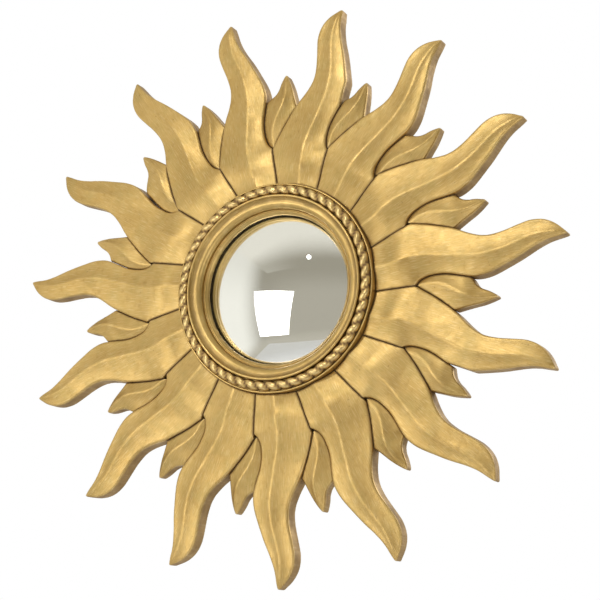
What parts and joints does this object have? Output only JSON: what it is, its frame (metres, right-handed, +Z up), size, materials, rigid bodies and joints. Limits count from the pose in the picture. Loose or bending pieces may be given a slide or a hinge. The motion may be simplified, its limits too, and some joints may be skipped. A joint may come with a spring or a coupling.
{
  "type": "convex wall mirror",
  "caption": "Round convex wall mirror in a gilt sunburst frame of carved flame rays, with a rope-carved hub, turn-buttoned back and a swinging hanging ring.",
  "frame": {"origin": "on the mirror's axis, in the plane of the raised rim that stands on the wall", "axes": "+Y into the wall, so the mirror looks along -Y; +Z up as it hangs; +X to the viewer's right"},
  "size_m": [0.5966, 0.0518, 0.5944],
  "materials": {
    "gilt_rays": "gold leaf on carved wood, matt to satin, rubbed, brown in the joints",
    "gilt_hub": "gold leaf, burnished on the raised mouldings, dark in the hollows",
    "mirror_glass": "polished, clear",
    "silver_coat": "silver behind glass, grey backing paint",
    "felt": "dark brown felt",
    "softwood": "bare planed softwood",
    "hardboard": "smooth brown hardboard",
    "plywood": "plywood with a brown wash",
    "screw_steel": "zinc-plated slotted screws",
    "hanger_brass": "brass, slightly tarnished"
  },
  "bodies": {
    "mirror": {"hub_moulding": "gilt_hub", "rope_moulding": "gilt_hub", "large_ray_01": "gilt_rays", "large_ray_02": "gilt_rays", "large_ray_03": "gilt_rays", "large_ray_04": "gilt_rays", "large_ray_05": "gilt_rays", "large_ray_06": "gilt_rays", "large_ray_07": "gilt_rays", "large_ray_08": "gilt_rays", "large_ray_09": "gilt_rays", "large_ray_10": "gilt_rays", "large_ray_11": "gilt_rays", "large_ray_12": "gilt_rays", "large_ray_13": "gilt_rays", "large_ray_14": "gilt_rays", "large_ray_15": "gilt_rays", "small_ray_01": "gilt_rays", "small_ray_02": "gilt_rays", "small_ray_03": "gilt_rays", "small_ray_04": "gilt_rays", "small_ray_05": "gilt_rays", "small_ray_06": "gilt_rays", "small_ray_07": "gilt_rays", "small_ray_08": "gilt_rays", "small_ray_09": "gilt_rays", "small_ray_10": "gilt_rays", "small_ray_11": "gilt_rays", "small_ray_12": "gilt_rays", "small_ray_13": "gilt_rays", "small_ray_14": "gilt_rays", "small_ray_15": "gilt_rays", "convex_glass": "mirror_glass", "silvering": "silver_coat", "glass_gasket": "felt", "packing_ring": "softwood", "backboard": "hardboard", "backing_ring": "plywood", "hub_screws": "screw_steel", "large_ray_screws": "screw_steel", "small_ray_screws": "screw_steel", "turn_button_screws": "screw_steel", "hanger_screws": "screw_steel", "hanger_plate": "hanger_brass"},
    "turn_button_1": {"turn_button_1": "hanger_brass"},
    "turn_button_2": {"turn_button_2": "hanger_brass"},
    "turn_button_3": {"turn_button_3": "hanger_brass"},
    "turn_button_4": {"turn_button_4": "hanger_brass"},
    "hanger_ring": {"hanger_ring": "hanger_brass"}
  },
  "joints": [
    {"name": "turn_button_1_turn", "type": "hinge", "parent": "mirror", "child": "turn_button_1", "pos_m": [0.06735, -0.00405, 0.06735], "axis": [0, 1, 0], "continuous": true},
    {"name": "turn_button_2_turn", "type": "hinge", "parent": "mirror", "child": "turn_button_2", "pos_m": [-0.06735, -0.00405, 0.06735], "axis": [0, 1, 0], "continuous": true},
    {"name": "turn_button_3_turn", "type": "hinge", "parent": "mirror", "child": "turn_button_3", "pos_m": [-0.06735, -0.00405, -0.06735], "axis": [0, 1, 0], "continuous": true},
    {"name": "turn_button_4_turn", "type": "hinge", "parent": "mirror", "child": "turn_button_4", "pos_m": [0.06735, -0.00405, -0.06735], "axis": [0, 1, 0], "continuous": true},
    {"name": "hanger_ring_swing", "type": "hinge", "parent": "mirror", "child": "hanger_ring", "pos_m": [0, -0.00265, 0.136], "axis": [1, 0, 0], "range_deg": [0, 180]}
  ]
}
